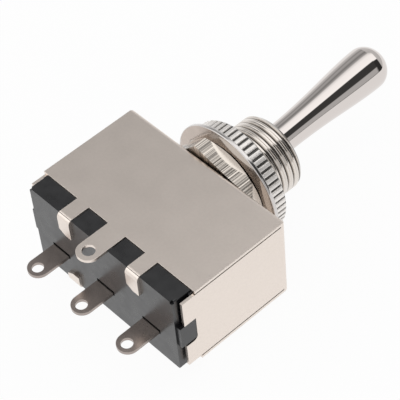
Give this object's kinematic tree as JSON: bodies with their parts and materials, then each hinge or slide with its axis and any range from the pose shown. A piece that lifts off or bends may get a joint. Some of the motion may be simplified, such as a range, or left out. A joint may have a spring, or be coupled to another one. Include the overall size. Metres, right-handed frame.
{
  "type": "toggle switch",
  "caption": "Closed three-position toggle switch: folded metal case, moulded base with solder terminals, threaded bushing with nuts, and a tapered lever.",
  "frame": {"origin": "on the bushing's axis, at the middle of its free thread, where a panel sits", "axes": "+Y out along the bushing and the lever at rest, +X across the three terminals, +Z out of the wide side that carries the ground lug"},
  "size_m": [0.0304, 0.0617, 0.0196],
  "materials": {
    "nickel_sheet": "matt nickel plate on folded steel sheet",
    "black_phenolic": "black moulded phenolic, satin",
    "tinned_brass": "tinned brass strip",
    "nickel_plate": "bright nickel plate",
    "chrome_plate": "polished chrome plate",
    "spring_steel": "bright steel",
    "zinc_steel": "zinc-plated steel sheet",
    "white_nylon": "natural nylon",
    "phosphor_bronze": "phosphor bronze strip"
  },
  "bodies": {
    "housing": {"case": "nickel_sheet", "terminal_base": "black_phenolic", "terminal_left": "tinned_brass", "terminal_common": "tinned_brass", "terminal_right": "tinned_brass", "bushing": "nickel_plate", "flat_washer": "nickel_plate", "pivot_pin": "spring_steel", "detent_bracket": "zinc_steel"},
    "lever": {"lever": "chrome_plate", "lever_foot": "white_nylon"},
    "slider": {"slider": "white_nylon", "wiper_contact": "phosphor_bronze", "contact_spring_left": "spring_steel", "contact_spring_right": "spring_steel", "detent_ball_left": "spring_steel", "detent_ball_right": "spring_steel", "detent_spring_left": "spring_steel", "detent_spring_right": "spring_steel"},
    "hex_nut": {"hex_nut": "nickel_plate"},
    "ring_nut": {"knurled_ring_nut": "nickel_plate"}
  },
  "joints": [
    {"name": "lever_tilt", "type": "hinge", "parent": "housing", "child": "lever", "pos_m": [0, -0.00365, 0], "axis": [0, 0, 1], "range_deg": [-15, 15]},
    {"name": "slider_travel", "type": "slide", "parent": "housing", "child": "slider", "axis": [1, 0, 0], "range_m": [-0.0037, 0.0037]},
    {"name": "hex_nut_turn", "type": "hinge", "parent": "housing", "child": "hex_nut", "pos_m": [0, -0.00747, 0], "axis": [0, 1, 0], "continuous": true},
    {"name": "ring_nut_turn", "type": "hinge", "parent": "housing", "child": "ring_nut", "pos_m": [0, -0.00405, 0], "axis": [0, 1, 0], "continuous": true}
  ],
  "couplings": [
    {"joint": "slider_travel", "follows": "lever_tilt", "m_per_rad": 0.014}
  ]
}
